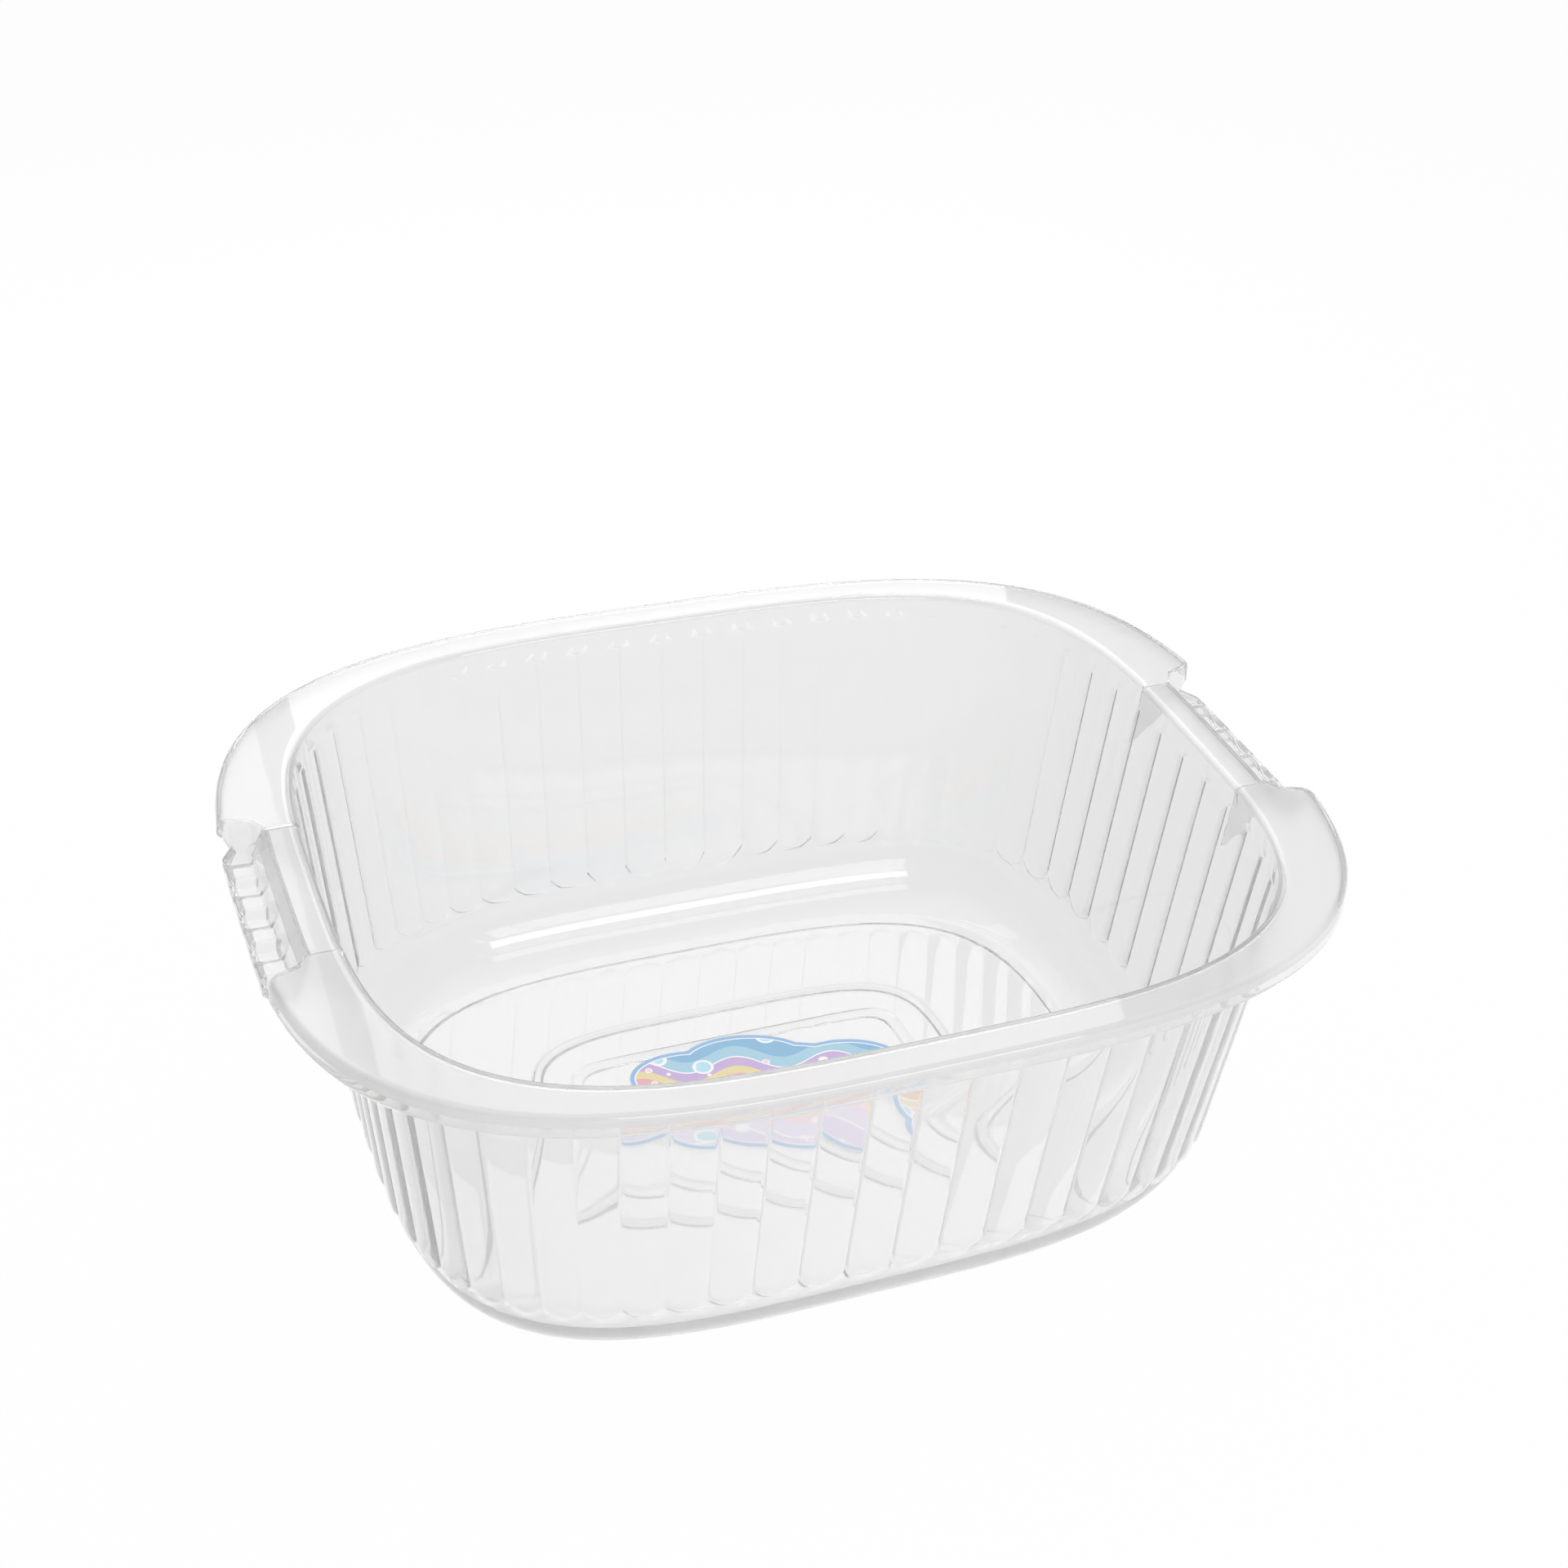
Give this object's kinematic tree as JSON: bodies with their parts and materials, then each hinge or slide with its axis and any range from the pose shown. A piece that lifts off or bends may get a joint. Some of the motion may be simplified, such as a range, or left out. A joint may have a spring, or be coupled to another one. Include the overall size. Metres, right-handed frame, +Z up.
{
  "type": "plastic basin",
  "caption": "Clear rounded-rectangular washing basin with a fluted wall, a flat rim with a wavy finger grip at each short side, and a plain patterned sticker on its floor.",
  "frame": {"origin": "centre of the footprint, on the plane that the base ring stands on", "axes": "+Z up out of the basin's mouth, X along the basin's length from grip to grip, Y across its width"},
  "size_m": [0.4182, 0.3276, 0.1535],
  "materials": {
    "clear_moulded_plastic": "gloss",
    "printed_film": "satin"
  },
  "bodies": {
    "root": {"basin_body": "clear_moulded_plastic", "floor_sticker": "printed_film"}
  },
  "joints": []
}
